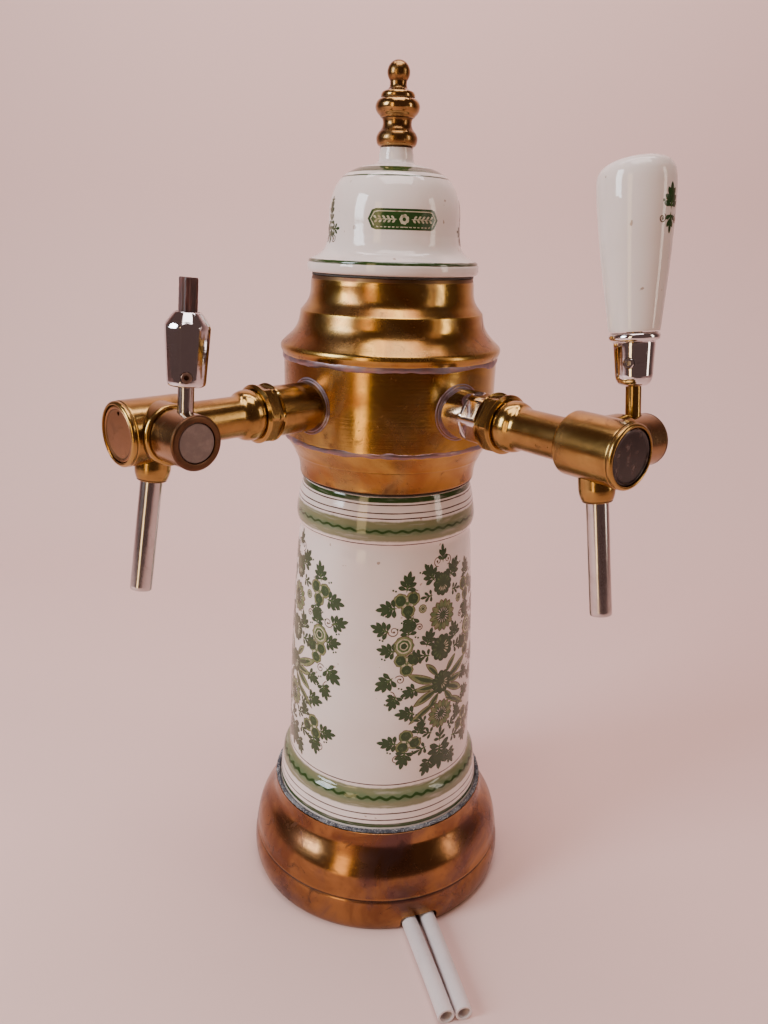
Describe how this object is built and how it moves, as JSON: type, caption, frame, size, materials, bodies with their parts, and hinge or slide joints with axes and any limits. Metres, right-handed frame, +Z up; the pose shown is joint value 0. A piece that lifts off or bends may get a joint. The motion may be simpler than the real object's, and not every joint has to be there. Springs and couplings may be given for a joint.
{
  "type": "beer tap tower",
  "caption": "Free-standing beer tap tower: painted ceramic column on a spun brass foot, brass head with side-mounted lever taps, ceramic dome and turned finial.",
  "frame": {"origin": "centre of the base plate's underside, on the counter", "axes": "+Z up along the tower's axis; -Y is the front; the arms stand 41.5 degrees either side of the front"},
  "size_m": [0.3274, 0.2905, 0.6205],
  "materials": {
    "brass": "aged, softly polished",
    "base_brass": "aged, reddish brown patina",
    "glaze": "glossy glazed ceramic with painted bands and flowers",
    "chrome": "polished",
    "steel": "satin stainless",
    "zinc_steel": "zinc plated",
    "rusty_steel": "browned",
    "putty": "rough dried putty",
    "rubber": "matte",
    "black_plastic": "semi-gloss black",
    "plug_plastic": "matte grey-brown",
    "stub_wood": "dark red-brown, broken end",
    "hose_plastic": "milky translucent beer line"
  },
  "bodies": {
    "tower": {"base_plate": "zinc_steel", "base_shell": "base_brass", "base_gasket": "putty", "ceramic_column": "glaze", "collar_gasket": "rubber", "lower_collar": "brass", "manifold_drum": "brass", "upper_collar": "brass", "cap_gasket": "rubber", "dome_cap": "glaze", "finial": "brass", "tie_rod": "zinc_steel", "clamp_plate": "zinc_steel", "tie_washer": "zinc_steel", "tie_nut": "zinc_steel", "left_shank": "brass", "left_shank_locknut": "brass", "left_tail_elbow": "steel", "left_coupling_nut": "brass", "left_coupling_seal": "rubber", "left_tap_body": "brass", "left_end_cap_seal": "rubber", "left_end_cap": "brass", "left_spout_socket": "brass", "left_spout_tube": "steel", "left_riser_hose": "hose_plastic", "left_hose_tail": "hose_plastic", "right_shank": "chrome", "right_shank_locknut": "brass", "right_tail_elbow": "steel", "right_coupling_nut": "brass", "right_coupling_seal": "rubber", "right_tap_body": "brass", "right_end_cap_seal": "rubber", "right_end_cap": "black_plastic", "right_spout_socket": "brass", "right_spout_tube": "steel", "right_riser_hose": "hose_plastic", "right_hose_tail": "hose_plastic"},
    "left_lever": {"left_spindle": "steel", "left_lever_drum": "brass", "left_drum_plug": "plug_plastic", "left_lever_stem": "steel", "left_set_screw": "rusty_steel", "left_ferrule": "chrome", "left_handle_stub": "stub_wood"},
    "left_piston": {"left_piston": "steel", "left_piston_seal": "rubber"},
    "right_lever": {"right_spindle": "steel", "right_lever_drum": "brass", "right_drum_plug": "plug_plastic", "right_lever_stem": "brass", "right_set_screw": "chrome", "right_ferrule": "chrome", "right_handle_ring": "chrome", "right_handle": "glaze"},
    "right_piston": {"right_piston": "steel", "right_piston_seal": "rubber"}
  },
  "joints": [
    {"name": "left_lever_pull", "type": "hinge", "parent": "tower", "child": "left_lever", "pos_m": [-0.10288, -0.16534, 0.4], "axis": [0.749, -0.6626, 0], "range_deg": [0, 60]},
    {"name": "left_piston_slide", "type": "slide", "parent": "tower", "child": "left_piston", "axis": [-0.6626, -0.749, 0], "range_m": [0, 0.004]},
    {"name": "right_lever_pull", "type": "hinge", "parent": "tower", "child": "right_lever", "pos_m": [0.15156, -0.12226, 0.4], "axis": [0.749, 0.6626, 0], "range_deg": [0, 60]},
    {"name": "right_piston_slide", "type": "slide", "parent": "tower", "child": "right_piston", "axis": [0.6626, -0.749, 0], "range_m": [0, 0.004]}
  ],
  "couplings": [
    {"joint": "left_piston_slide", "follows": "left_lever_pull", "m_per_rad": 0.00382},
    {"joint": "right_piston_slide", "follows": "right_lever_pull", "m_per_rad": 0.00382}
  ]
}
